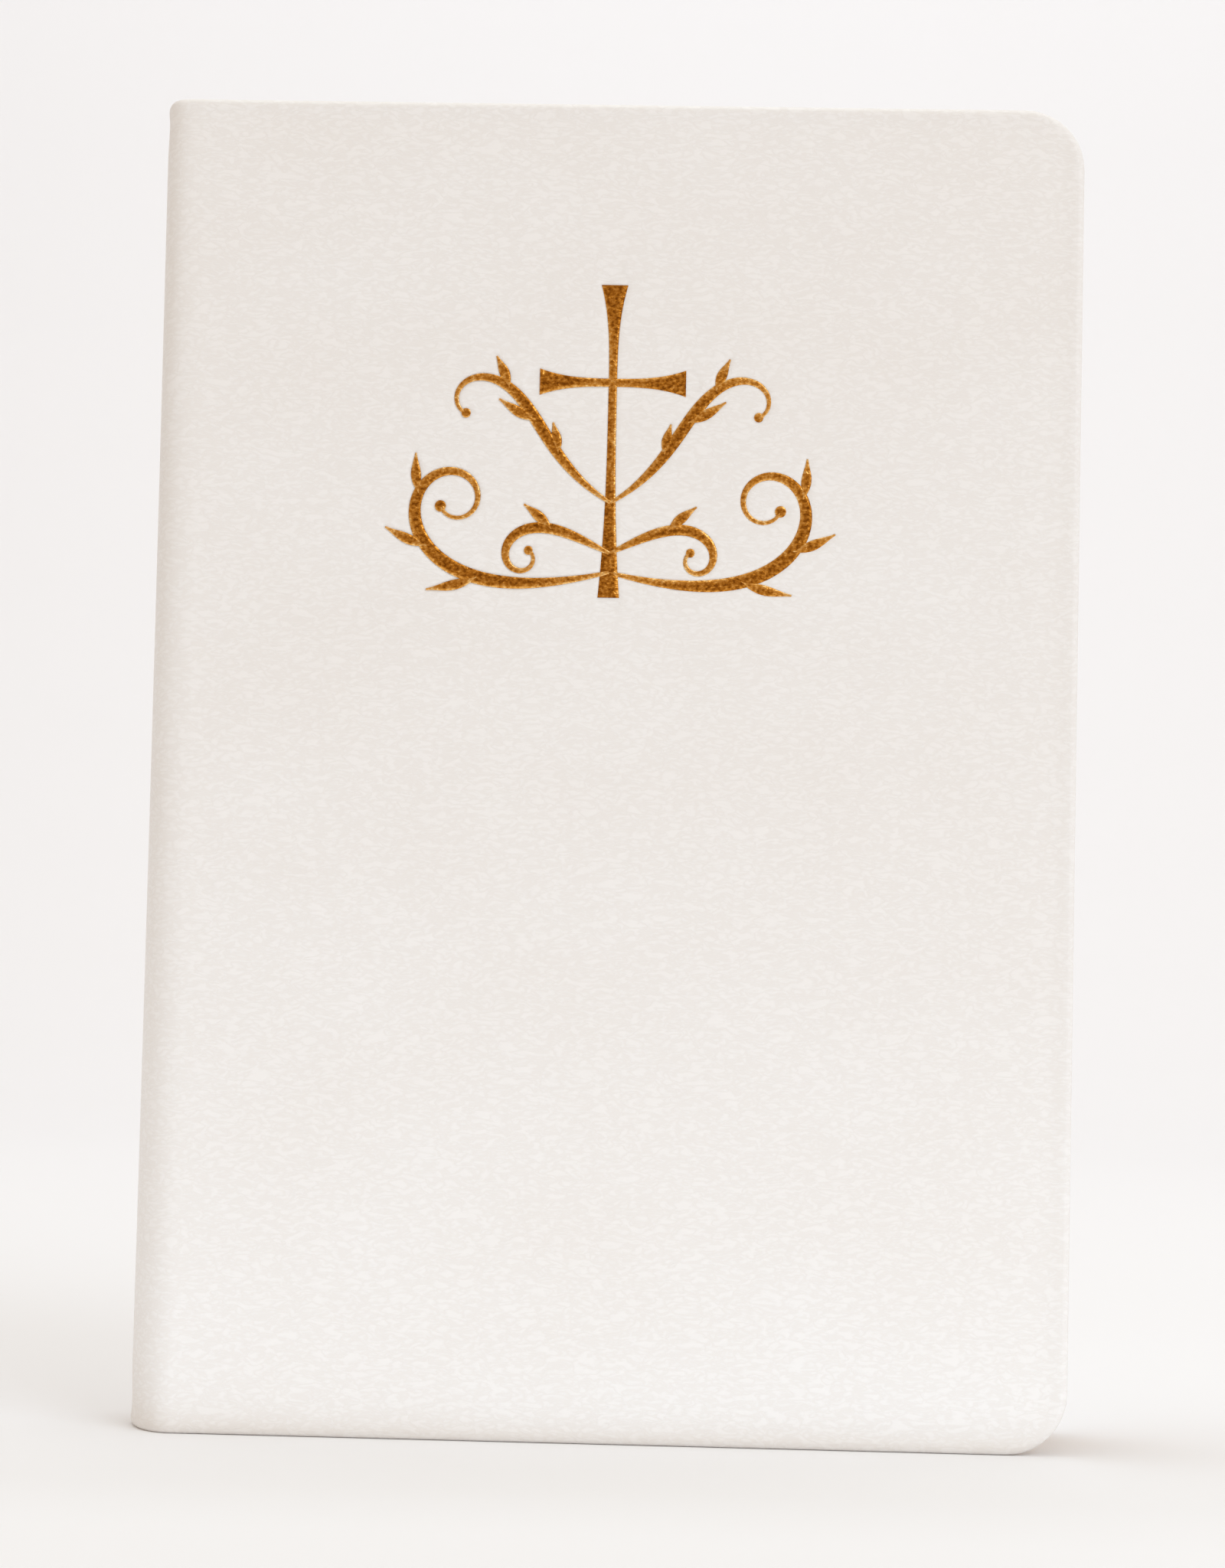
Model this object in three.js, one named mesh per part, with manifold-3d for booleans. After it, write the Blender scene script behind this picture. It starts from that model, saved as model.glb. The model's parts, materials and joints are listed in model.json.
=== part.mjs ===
// A hand Bible in a limp case of white imitation leather, standing on its tail.
// Millimetres, +Z up to the head. The spine faces -X, the front cover -Y, the
// fore-edge +X. The origin lies under the middle of the book, on what it stands on.
import * as THREE from "three";
import { mergeVertices } from "three/addons/utils/BufferGeometryUtils.js";
import Module from "manifold-3d";

const wasm = await Module();
wasm.setup();

// The closed book
const HEIGHT = 210;
const WIDTH = 147;
const THICKNESS = 31;
const SPINE_RISE = 8.5; // how far the rounded spine stands out past the joints
const COVER_CORNER_R = 9.5;
const PAGE_CORNER_R = 8;
const SQUARE = 3; // what the covers stand out past the pages

// The case
const LEATHER_T = 0.8;
const BOARD_T = 0.95;
const TURN_IN_T = 0.4;
const TURN_IN_W = 15;
const PASTEDOWN_T = 0.15;
const PASTEDOWN_MARGIN = 5;
const INLAY_T = 0.5; // the card that stiffens the spine
const SPINE_TURN_IN_T = 0.35;
const SPINE_TURN_IN_W = 12;
const JOINT_GAP = 0.3; // slit between a cover and the spine, where the leather bends

// The text block
const ENDPAPER_T = 0.2;
const MULL_T = 0.2;
const LINING_T = 0.2;
const THREAD_T = 0.2;
const THREAD_W = 0.6;
const THREAD_ROWS = 5;
const HOLLOW = 0.3; // least gap between the spine of the case and the linings
const CORE_SECTIONS = 10; // the sections that stay put between the two fans
const GUTTER = 8; // from the joint to the line about which the leaves turn
const FOLD_GAP = 0.3; // from a turning line back to the sewn folds
const LEAF_START = 0.5; // from a turning line on to the leaf's outer face
const LINING_INSET = 1.2; // the spine linings stop short of the block's shoulders
const HEADBAND_R = 0.9;
const HEADBAND_INSET = 1.7;

// The sections that turn with a cover, from the cover inwards. The start is
// where the inner face begins, so the leaves in front can turn further.
const FANNED = [
  { thickness: 0.9, start: 3.9 },
  { thickness: 1.3, start: 2.8 },
  { thickness: 1.6, start: 1.2 },
  { thickness: 2.0, start: 0.7 },
];
const FLYLEAF_START = 2.4;

// The foil
const FOIL_T = 0.06;
const ORNAMENT_FROM_HEAD = 57; // middle of the cover ornament below the head
const CROSS = { up: 15.5, side: 11.5, down: 34, height: 12.5, waist: 1.3 };
const ARM_END = 4.2;
const FOOT_END = 3.4;
const ARM_NOTCH = 0.8;
const HAIRLINE = 0.55;
const SPINE_CROSS_FROM_TAIL = 37;
const SPINE_CROSS = { up: 3.2, side: 2.6, down: 6, height: 0, waist: 0.9 };
const SPINE_ARM_END = 1.8;

// Each flourish leaves the stem at a height and curls as its bend grows from
// the first value to the second, in radians per millimetre. Its leaves are
// given as [place along it, turn in degrees, length].
const FLOURISHES = [
  {
    from: -17.5, heading: -14, length: 61, bend: [0.013, 0.378], ease: 2.2,
    thick: 2.2, swell: 0.42, bead: 0.9,
    leaves: [[0.34, -42, 8.2], [0.5, -40, 7.2], [0.65, -38, 6.4]],
  },
  {
    from: -14.5, heading: 26, length: 28, bend: [0, -0.667], ease: 2,
    thick: 1.7, swell: 0.4, bead: 0.7,
    leaves: [[0.36, 40, 5.8]],
  },
  {
    from: -6.5, heading: 30, length: 38, bend: [0.039, -0.467], ease: 3,
    thick: 1.9, swell: 0.45, bead: 0.75,
    leaves: [[0.3, 34, 5], [0.47, -38, 6.8], [0.64, 38, 5.4]],
  },
];
const LEAF_THICK = 1.6;
const LEAF_SWELL = 0.45;
const LEAF_BEND = 0.08;
const LEAF_TIP = 0.3;
const PEN_PRESSURE = 1.6; // how late a stroke swells from its hairline
const ARM_FLARE = 3; // how late an arm of a cross widens

// Clearances
const LAYER_GAP = 0.05; // between two layers that lie on each other
const FOIL_GAP = 0.02;
const COVER_GAP = 0.1; // between a closed cover and the flyleaf

// Fineness of the meshes
const CORNER_STEPS = 6;
const SPINE_STEPS = 24;
const LINING_STEPS = 14;
const CURL_STEPS = 18;
const LEAF_STEPS = 4;
const BEAD_STEPS = 8;
const ARM_STEPS = 3;
const WELD = 1e-4;

// What follows from them
const SPINE_X = -WIDTH / 2;
const JOINT_X = SPINE_X + SPINE_RISE;
const FORE_X = WIDTH / 2;
const PAGES_BOTTOM = SQUARE;
const PAGES_TOP = HEIGHT - SQUARE;
const PAGES_RIGHT = FORE_X - SQUARE;
const TURN_X = JOINT_X + GUTTER;
const HALF = THICKNESS / 2;
const BOARD_DEPTH = LEATHER_T + LAYER_GAP;
const TURN_IN_DEPTH = BOARD_DEPTH + BOARD_T + LAYER_GAP;
const TRAY_DEPTH = TURN_IN_DEPTH + TURN_IN_T;
const PASTEDOWN_DEPTH = TRAY_DEPTH + LAYER_GAP;
const COVER_T = PASTEDOWN_DEPTH + PASTEDOWN_T;
const FLYLEAF_DEPTH = COVER_T + COVER_GAP;
const BLOCK_DEPTH = FLYLEAF_DEPTH + ENDPAPER_T + LAYER_GAP;
const BLOCK_HALF = HALF - BLOCK_DEPTH;
const INLAY_DEPTH = LEATHER_T + LAYER_GAP;
const SPINE_TURN_IN_DEPTH = INLAY_DEPTH + INLAY_T + LAYER_GAP;
const SPINE_CASE_T = SPINE_TURN_IN_DEPTH + SPINE_TURN_IN_T;
const LININGS = LINING_T + MULL_T + THREAD_T + 3 * LAYER_GAP;
const BLOCK_RISE = SPINE_RISE - SPINE_CASE_T - HOLLOW - LININGS;
const BLOCK_R = (BLOCK_HALF ** 2 + BLOCK_RISE ** 2) / (2 * BLOCK_RISE);
const BLOCK_CENTRE_X = JOINT_X - BLOCK_RISE + BLOCK_R;

function finish(color, roughness, metalness = 0) {
  return new THREE.MeshStandardMaterial({ color, roughness, metalness });
}

const LEATHER = finish("#eee9e2", 0.6);
const CARD = finish("#b9a78a", 0.9);
const PAPER = finish("#f4f0e6", 0.85);
const GILT = finish("#d8b36a", 0.35, 0.8);
const CLOTH = finish("#e6e0d2", 0.95);
const SILK = finish("#f0e7d0", 0.6);
const FOIL = finish("#a86a20", 0.3, 1);

const bible = new THREE.Group();

function addPiece(name, geometry, material) {
  const mesh = new THREE.Mesh(geometry, material);
  mesh.name = name;
  bible.add(mesh);
}

function toSolid(geometry) {
  const bare = geometry.clone();
  bare.deleteAttribute("normal");
  bare.deleteAttribute("uv");
  const merged = mergeVertices(bare, WELD);
  return new wasm.Manifold(
    new wasm.Mesh({
      numProp: 3,
      vertProperties: merged.attributes.position.array,
      triVerts: new Uint32Array(merged.index.array),
    }),
  );
}

function toGeometry(solid) {
  const mesh = solid.getMesh();
  const geometry = new THREE.BufferGeometry();
  geometry.setAttribute("position", new THREE.BufferAttribute(mesh.vertProperties, 3));
  geometry.setIndex(new THREE.BufferAttribute(mesh.triVerts, 1));
  geometry.computeVertexNormals();
  return geometry;
}

function joined(geometries) {
  return geometries.map(toSolid).reduce((whole, piece) => whole.add(piece));
}

// An upright outline, square at the spine and rounded at the fore-edge.
function outline({ left, right, bottom, top, radius }) {
  const shape = new THREE.Shape();
  shape.moveTo(left, bottom);
  shape.lineTo(right - radius, bottom);
  shape.absarc(right - radius, bottom + radius, radius, -Math.PI / 2, 0, false);
  shape.lineTo(right, top - radius);
  shape.absarc(right - radius, top - radius, radius, 0, Math.PI / 2, false);
  shape.lineTo(left, top);
  return shape;
}

// A plate of that outline between two depths under a cover's outer face.
// The side is -1 at the front of the book and 1 at its back.
function plate(shape, side, outer, inner, steps = 1) {
  const geometry = new THREE.ExtrudeGeometry(shape, {
    depth: inner - outer,
    steps,
    bevelEnabled: false,
    curveSegments: CORNER_STEPS,
  });
  geometry.rotateX(Math.PI / 2);
  const far = side < 0 ? -HALF + inner : HALF - outer;
  return geometry.translate(0, far, 0);
}

// The sections stand along an arc, so each leaf is shifted towards the spine.
function blockShift(y) {
  return BLOCK_R - BLOCK_RISE - Math.sqrt(BLOCK_R ** 2 - y ** 2);
}

function shiftEdges(geometry, spineShift, foreShift) {
  const position = geometry.attributes.position;
  for (let i = 0; i < position.count; i += 1) {
    const x = position.getX(i);
    const y = position.getY(i);
    const shift = x < TURN_X + GUTTER ? spineShift(y) : foreShift(y);
    position.setX(i, x + shift);
  }
  return geometry;
}

function leafOutline(left, right, radius = PAGE_CORNER_R) {
  return outline({ left, right, bottom: PAGES_BOTTOM, top: PAGES_TOP, radius });
}

function strip(left, right) {
  const shape = new THREE.Shape();
  shape.moveTo(left, PAGES_BOTTOM);
  shape.lineTo(right, PAGES_BOTTOM);
  shape.lineTo(right, PAGES_TOP);
  shape.lineTo(left, PAGES_TOP);
  return shape;
}

// The outer curve of the spine, a half ellipse, at a depth under its surface.
function spineCurve(depth) {
  const points = [];
  for (let i = 0; i <= SPINE_STEPS; i += 1) {
    const angle = Math.PI * (i / SPINE_STEPS - 0.5);
    const x = JOINT_X - (SPINE_RISE - depth) * Math.cos(angle);
    points.push(new THREE.Vector2(x, (HALF - depth) * Math.sin(angle)));
  }
  return points;
}

// The curve of the section backs, an arc, at a distance behind them.
function liningCurve(distance, reach) {
  const points = [];
  const radius = BLOCK_R + distance;
  const most = Math.asin(reach / radius);
  for (let i = 0; i <= LINING_STEPS; i += 1) {
    const angle = most * ((2 * i) / LINING_STEPS - 1);
    const x = BLOCK_CENTRE_X - radius * Math.cos(angle);
    points.push(new THREE.Vector2(x, radius * Math.sin(angle)));
  }
  return points;
}

function band(outerCurve, innerCurve, bottom, top) {
  const shape = new THREE.Shape([...outerCurve].reverse().concat(innerCurve));
  const settings = { depth: top - bottom, bevelEnabled: false };
  return new THREE.ExtrudeGeometry(shape, settings).translate(0, 0, bottom);
}

function spineBand(outer, inner, bottom, top) {
  return band(spineCurve(outer), spineCurve(inner), bottom, top);
}

// Leather of one cover: the outer skin, its rolled edges and the turn-ins.
function coverLeather(side) {
  const left = JOINT_X + JOINT_GAP;
  const whole = outline({
    left, right: FORE_X, bottom: 0, top: HEIGHT, radius: COVER_CORNER_R,
  });
  const pocket = inset(left - JOINT_GAP, LEATHER_T);
  const window = inset(left - JOINT_GAP, TURN_IN_W);
  return toGeometry(
    toSolid(plate(whole, side, 0, TRAY_DEPTH))
      .subtract(toSolid(plate(pocket, side, LEATHER_T, TURN_IN_DEPTH)))
      .subtract(toSolid(plate(window, side, LEATHER_T, TRAY_DEPTH + LAYER_GAP))),
  );
}

// A cover's outline drawn in by a margin at the head, tail and fore-edge.
function inset(left, margin) {
  return outline({
    left,
    right: FORE_X - margin,
    bottom: margin,
    top: HEIGHT - margin,
    radius: Math.max(COVER_CORNER_R - margin, COVER_CORNER_R / CORNER_STEPS),
  });
}

function coverBoard(side) {
  const shape = inset(JOINT_X + 2 * JOINT_GAP, LEATHER_T + LAYER_GAP);
  return plate(shape, side, BOARD_DEPTH, BOARD_DEPTH + BOARD_T);
}

// The pastedown lies on the turn-ins and sinks between them onto the board.
function pastedown(side) {
  const left = JOINT_X + 2 * JOINT_GAP;
  const sheet = inset(left, PASTEDOWN_MARGIN);
  const sunk = inset(left + JOINT_GAP, TURN_IN_W + JOINT_GAP);
  const hollow = inset(left + 2 * JOINT_GAP, TURN_IN_W + 2 * JOINT_GAP);
  const bottom = BOARD_DEPTH + BOARD_T + LAYER_GAP;
  const over = COVER_T + LAYER_GAP;
  return toGeometry(
    toSolid(plate(sheet, side, PASTEDOWN_DEPTH, COVER_T))
      .add(toSolid(plate(sunk, side, bottom, COVER_T)))
      .subtract(toSolid(plate(hollow, side, bottom + PASTEDOWN_T, over))),
  );
}

// The spine's leather, turned in over the inlay at the head and tail.
function spineLeather() {
  const topRim = HEIGHT - LEATHER_T;
  const turnIn = HEIGHT - SPINE_TURN_IN_W;
  return toGeometry(
    joined([
      spineBand(0, LEATHER_T, 0, HEIGHT),
      spineBand(0, SPINE_CASE_T, 0, LEATHER_T),
      spineBand(0, SPINE_CASE_T, topRim, HEIGHT),
      spineBand(SPINE_TURN_IN_DEPTH, SPINE_CASE_T, 0, SPINE_TURN_IN_W),
      spineBand(SPINE_TURN_IN_DEPTH, SPINE_CASE_T, turnIn, HEIGHT),
    ]),
  );
}

function spineInlay() {
  const bottom = LEATHER_T + LAYER_GAP;
  return spineBand(INLAY_DEPTH, INLAY_DEPTH + INLAY_T, bottom, HEIGHT - bottom);
}

// A whole section, from its sewn fold to the fore-edge.
function coreSection(outer, inner) {
  const shape = leafOutline(JOINT_X, PAGES_RIGHT);
  return shiftEdges(plate(shape, -1, outer, inner), blockShift, blockShift);
}

// The sewn fold of a section whose leaves turn.
function sectionFold(side, outer, inner) {
  const geometry = plate(strip(JOINT_X, TURN_X - FOLD_GAP), side, outer, inner);
  const fold = (TURN_X - FOLD_GAP + JOINT_X) / 2;
  const position = geometry.attributes.position;
  for (let i = 0; i < position.count; i += 1) {
    const x = position.getX(i);
    const shift = x < fold ? blockShift(position.getY(i)) : 0;
    position.setX(i, x + shift);
  }
  return geometry;
}

// The leaves of a section, cut off on a slope towards their turning line.
function turningLeaves(side, outer, inner, start) {
  const shape = leafOutline(TURN_X, PAGES_RIGHT);
  const slope = (start - LEAF_START) / (inner - outer);
  const outerY = HALF - outer;
  const startShift = (y) => LEAF_START + slope * (outerY - Math.abs(y));
  return shiftEdges(plate(shape, side, outer, inner), startShift, blockShift);
}

function flyleaf(side) {
  const shape = leafOutline(TURN_X + FLYLEAF_START, PAGES_RIGHT);
  return plate(shape, side, FLYLEAF_DEPTH, FLYLEAF_DEPTH + ENDPAPER_T);
}

function endpaperStrip(side) {
  const shape = strip(JOINT_X + JOINT_GAP, TURN_X - FOLD_GAP);
  return plate(shape, side, FLYLEAF_DEPTH, FLYLEAF_DEPTH + ENDPAPER_T);
}

function spineLining(distance, thickness, bottom, top) {
  const reach = BLOCK_HALF - LINING_INSET;
  const outer = liningCurve(distance + thickness, reach);
  const inner = liningCurve(distance, reach);
  return band(outer, inner, bottom, top);
}

// A silk bead along the head or tail of the section backs.
function headband(height) {
  const reach = BLOCK_HALF - HEADBAND_INSET;
  const points = liningCurve(-2 * HEADBAND_R, reach).map(
    (point) => new THREE.Vector3(point.x, point.y, height),
  );
  const bead = new THREE.Shape();
  bead.absarc(0, 0, HEADBAND_R, 0, 2 * Math.PI, false);
  return new THREE.ExtrudeGeometry(bead, {
    steps: LINING_STEPS,
    bevelEnabled: false,
    curveSegments: BEAD_STEPS,
    extrudePath: new THREE.CatmullRomCurve3(points),
  });
}

// The line of a flourish: its heading turns faster and faster towards its end.
function curl({ x = 0, y, heading, length, bend, ease = 1 }, steps) {
  const step = length / steps;
  let angle = THREE.MathUtils.degToRad(heading);
  const line = [{ x, y, angle }];
  for (let i = 0; i < steps; i += 1) {
    const along = (i + 0.5) / steps;
    const turn = (bend[0] + (bend[1] - bend[0]) * along ** ease) * step;
    const last = line[i];
    const middle = angle + turn / 2;
    angle += turn;
    line.push({
      x: last.x + step * Math.cos(middle),
      y: last.y + step * Math.sin(middle),
      angle,
    });
  }
  return line;
}

// A pen stroke along that line, hairline at its ends and thick between them.
function penStroke(line, thick, swell, tip = HAIRLINE) {
  const skew = Math.log(0.5) / Math.log(swell);
  const left = [];
  const right = [];
  line.forEach(({ x, y, angle }, i) => {
    const along = (i / (line.length - 1)) ** skew;
    const half = (tip + (thick - tip) * Math.sin(Math.PI * along) ** PEN_PRESSURE) / 2;
    const across = [-Math.sin(angle) * half, Math.cos(angle) * half];
    left.push(new THREE.Vector2(x + across[0], y + across[1]));
    right.unshift(new THREE.Vector2(x - across[0], y - across[1]));
  });
  return new THREE.Shape(right.concat(left).reverse());
}

// One arm of a cross, flared to its end, where it has a small notch.
function crossArm(centreY, degrees, length, waist, end) {
  const left = [];
  const right = [];
  const angle = THREE.MathUtils.degToRad(degrees);
  const point = (along, across) =>
    new THREE.Vector2(
      along * Math.cos(angle) - across * Math.sin(angle),
      centreY + along * Math.sin(angle) + across * Math.cos(angle),
    );
  for (let i = 0; i <= ARM_STEPS; i += 1) {
    const along = i / ARM_STEPS;
    const half = (waist + (end - waist) * along ** ARM_FLARE) / 2;
    left.unshift(point(length * along, half));
    right.push(point(length * along, -half));
  }
  const notch = point(length - ARM_NOTCH * (end / ARM_END), 0);
  return new THREE.Shape([...right, notch, ...left]);
}

function crossShapes({ up, side, down, height, waist }, armEnd, footEnd) {
  return [
    crossArm(height, 90, up, waist, armEnd),
    crossArm(height, 0, side, waist, armEnd),
    crossArm(height, 180, side, waist, armEnd),
    crossArm(height, 270, down, waist, footEnd),
  ];
}

function flourishShapes({ from, thick, swell, bead, leaves, ...course }) {
  const line = curl({ y: from, ...course }, CURL_STEPS);
  const end = line[CURL_STEPS];
  const dot = new THREE.Shape();
  dot.absarc(end.x, end.y, bead, 0, 2 * Math.PI, false);
  const shapes = [penStroke(line, thick, swell), dot];
  for (const [place, turn, length] of leaves) {
    const root = line[Math.round(place * CURL_STEPS)];
    const heading = THREE.MathUtils.radToDeg(root.angle) + turn;
    const bend = [-Math.sign(turn) * LEAF_BEND, 0];
    const vein = curl({ x: root.x, y: root.y, heading, length, bend }, LEAF_STEPS);
    shapes.push(penStroke(vein, LEAF_THICK, LEAF_SWELL, LEAF_TIP));
  }
  return shapes;
}

function flatFoil(shapes, depth) {
  const settings = { depth, bevelEnabled: false, curveSegments: BEAD_STEPS / 2 };
  const plates = shapes.map((shape) => new THREE.ExtrudeGeometry(shape, settings));
  return joined(plates);
}

// The foil ornament of the front cover: a cross between leafy scrolls.
function coverOrnament() {
  const half = FLOURISHES.flatMap(flourishShapes);
  const right = flatFoil(half, FOIL_T);
  const cross = flatFoil(crossShapes(CROSS, ARM_END, FOOT_END), FOIL_T);
  const geometry = toGeometry(cross.add(right).add(right.mirror([1, 0, 0])));
  geometry.rotateX(Math.PI / 2);
  return geometry.translate(0, -HALF - FOIL_GAP, HEIGHT - ORNAMENT_FROM_HEAD);
}

// A small foil cross at the foot of the spine, bent to the spine's curve.
function spineOrnament() {
  const skin = spineBand(-FOIL_GAP - FOIL_T, -FOIL_GAP, 0, HEIGHT);
  const punch = flatFoil(
    crossShapes(SPINE_CROSS, SPINE_ARM_END, SPINE_ARM_END),
    SPINE_RISE,
  )
    .rotate([90, 0, 90])
    .translate([SPINE_X - SPINE_RISE / 2, 0, SPINE_CROSS_FROM_TAIL]);
  return toGeometry(toSolid(skin).intersect(punch));
}

function addCase() {
  addPiece("spine_leather", spineLeather(), LEATHER);
  addPiece("spine_inlay", spineInlay(), CARD);
  for (const [name, side] of [["front", -1], ["back", 1]]) {
    addPiece(`${name}_leather`, coverLeather(side), LEATHER);
    addPiece(`${name}_board`, coverBoard(side), CARD);
    addPiece(`${name}_pastedown`, pastedown(side), PAPER);
  }
  addPiece("cover_ornament", coverOrnament(), FOIL);
  addPiece("spine_ornament", spineOrnament(), FOIL);
}

// The leaves that turn, and the folds that hold them, from a cover inwards.
function addFan(name, side) {
  addPiece(`${name}_flyleaf`, flyleaf(side), PAPER);
  addPiece(`${name}_endpaper_strip`, endpaperStrip(side), PAPER);
  let outer = BLOCK_DEPTH;
  FANNED.forEach(({ thickness, start }, i) => {
    const inner = outer + thickness;
    const section = `${name}_section_${i + 1}`;
    addPiece(`${section}_leaves`, turningLeaves(side, outer, inner, start), GILT);
    addPiece(`${section}_fold`, sectionFold(side, outer, inner), PAPER);
    outer = inner + LAYER_GAP;
  });
}

function addCoreSections() {
  const fanned = FANNED.reduce((sum, { thickness }) => sum + thickness + LAYER_GAP, 0);
  const first = BLOCK_DEPTH + fanned;
  const room = THICKNESS - 2 * first + LAYER_GAP;
  const pitch = room / CORE_SECTIONS;
  for (let i = 0; i < CORE_SECTIONS; i += 1) {
    const outer = first + i * pitch;
    addPiece(`core_section_${i + 1}`, coreSection(outer, outer + pitch - LAYER_GAP), GILT);
  }
}

function addSpineLinings() {
  const mullAt = THREAD_T + 2 * LAYER_GAP;
  const liningAt = mullAt + MULL_T + LAYER_GAP;
  const bottom = PAGES_BOTTOM + SPINE_TURN_IN_W;
  const top = PAGES_TOP - SPINE_TURN_IN_W;
  addPiece("mull", spineLining(mullAt, MULL_T, bottom, top), CLOTH);
  addPiece("kraft_lining", spineLining(liningAt, LINING_T, bottom, top), CARD);
  for (let i = 0; i < THREAD_ROWS; i += 1) {
    const row = bottom + ((top - bottom) * (i + 0.5)) / THREAD_ROWS;
    const thread = spineLining(LAYER_GAP, THREAD_T, row, row + THREAD_W);
    addPiece(`sewing_thread_${i + 1}`, thread, SILK);
  }
}

function addHeadbands() {
  const above = HEADBAND_R + LAYER_GAP;
  addPiece("headband", headband(PAGES_TOP + above), SILK);
  addPiece("tailband", headband(PAGES_BOTTOM - above), SILK);
}

addCase();
addFan("front", -1);
addFan("back", 1);
addCoreSections();
addSpineLinings();
addHeadbands();

export default bible;
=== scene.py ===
import json
import math

import bpy
import numpy as np
from mathutils import Matrix, Vector


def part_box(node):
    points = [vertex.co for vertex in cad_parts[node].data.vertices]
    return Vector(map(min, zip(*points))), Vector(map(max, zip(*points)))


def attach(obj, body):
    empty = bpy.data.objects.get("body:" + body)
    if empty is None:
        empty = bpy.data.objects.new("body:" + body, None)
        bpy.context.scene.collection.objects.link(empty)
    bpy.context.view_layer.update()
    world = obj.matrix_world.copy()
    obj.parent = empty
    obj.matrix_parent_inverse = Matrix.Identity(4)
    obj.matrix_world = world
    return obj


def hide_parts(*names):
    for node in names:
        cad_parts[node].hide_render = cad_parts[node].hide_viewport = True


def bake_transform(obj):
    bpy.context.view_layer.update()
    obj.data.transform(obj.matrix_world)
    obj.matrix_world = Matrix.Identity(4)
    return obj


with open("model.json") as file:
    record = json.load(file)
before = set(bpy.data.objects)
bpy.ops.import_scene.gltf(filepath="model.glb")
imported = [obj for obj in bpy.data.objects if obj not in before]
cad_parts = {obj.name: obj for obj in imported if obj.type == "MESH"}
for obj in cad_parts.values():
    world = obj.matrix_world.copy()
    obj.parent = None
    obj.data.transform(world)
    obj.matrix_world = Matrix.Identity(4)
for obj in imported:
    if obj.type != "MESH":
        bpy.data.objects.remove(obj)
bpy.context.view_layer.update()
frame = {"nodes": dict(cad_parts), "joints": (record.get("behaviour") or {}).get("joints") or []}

MM = 0.001

# The case, from the frame: the front looks to -y and the spine to -x
SPINE_LOW, SPINE_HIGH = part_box("spine_leather")
COVER_LOW, COVER_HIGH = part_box("front_leather")
JOINT_X = SPINE_HIGH.x
FORE_X = COVER_HIGH.x
HEIGHT = COVER_HIGH.z
HALF = SPINE_HIGH.y
SPINE_RISE = JOINT_X - SPINE_LOW.x
COVER_T = COVER_HIGH.y - COVER_LOW.y
SPINE_T = 1.75 * MM  # leather and card together
CORNER_R = 9.5 * MM
EDGE_ROLL = 1.15 * MM
INNER_R = CORNER_R - EDGE_ROLL  # the corner of the flat face, inside the rolled edge
FACE_END = EDGE_ROLL + INNER_R  # where a corner meets the straight edge
TURN_IN_MM = (1.5, 3.5, 7.0)
SQUEEZE = 6 * MM  # before a corner, the lines of the face start to draw in
SIDES = {"front": -1, "back": 1}

# The text block
CORE_LOW, CORE_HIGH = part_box("core_section_5")
PAGES_BOTTOM = CORE_LOW.z
PAGES_TOP = CORE_HIGH.z
PAGES_RIGHT = FORE_X - PAGES_BOTTOM
PAGE_CORNER_R = 8 * MM
PAGES_FLAT_END = PAGES_RIGHT - PAGE_CORNER_R
HINGES = {joint["child"]: joint["pos_m"] for joint in frame["joints"]}
TURN_X = HINGES["front_flyleaf"][0]
BEND = 13 * MM  # how much of a leaf bends in the gutter
BLOCK_RISE = JOINT_X - CORE_LOW.x  # the middle sections stand this far towards the spine
BLOCK_HALF = -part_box("front_section_1_fold")[0].y
BUNDLE_T = 0.28 * MM

rng = np.random.default_rng(7)


# ---------------------------------------------------------------- materials


def linear(code):
    """An sRGB hex colour as linear RGBA."""
    parts = [int(code[i : i + 2], 16) / 255 for i in (1, 3, 5)]
    return [c / 12.92 if c <= 0.04045 else ((c + 0.055) / 1.055) ** 2.4 for c in parts] + [1]


def add(tree, kind, inputs, out=0, stops=(), **settings):
    """Adds one node with its settings and links, and gives one of its outputs.

    An input is a value or another node's output. stops are the positions and hex
    colours of a colour ramp."""
    made = tree.nodes.new("ShaderNode" + kind)
    for name, value in settings.items():
        setattr(made, name, value)
    for name, value in inputs.items():
        socket = made.inputs[name]
        if isinstance(value, bpy.types.NodeSocket):
            tree.links.new(value, socket)
        else:
            socket.default_value = value
    if stops:
        elements = made.color_ramp.elements
        while len(elements) < len(stops):
            elements.new(0.5)
        for element, (position, code) in zip(elements, stops):
            element.position = position
            element.color = linear(code)
    return made.outputs[out]


def new_material(name, **values):
    """A material with one principled shader: the material, its nodes and the shader."""
    material = bpy.data.materials.new(name)
    material.use_nodes = True
    tree = material.node_tree
    shader = tree.nodes["Principled BSDF"]
    for key, value in values.items():
        shader.inputs[key.replace("_", " ")].default_value = value
    return material, tree, shader


def lay_on(tree, shader, **textures):
    """Links textures to the shader, by the names of its sockets."""
    for key, texture in textures.items():
        tree.links.new(texture, shader.inputs[key.replace("_", " ")])


def rest_place(tree, size_mm, own=True):
    """The place on a piece at rest, in steps of a pattern's size.

    Pieces made here carry it as an attribute, so that the pattern would stay put if they bent.
    CAD nodes use their object coordinates."""
    if own:
        place = add(tree, "Attribute", {}, "Vector", attribute_name="rest")
    else:
        place = add(tree, "TexCoord", {}, "Object")
    scale = [1 / (axis * MM) for axis in size_mm]
    return add(tree, "VectorMath", {0: place, 1: scale}, operation="MULTIPLY")


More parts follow.
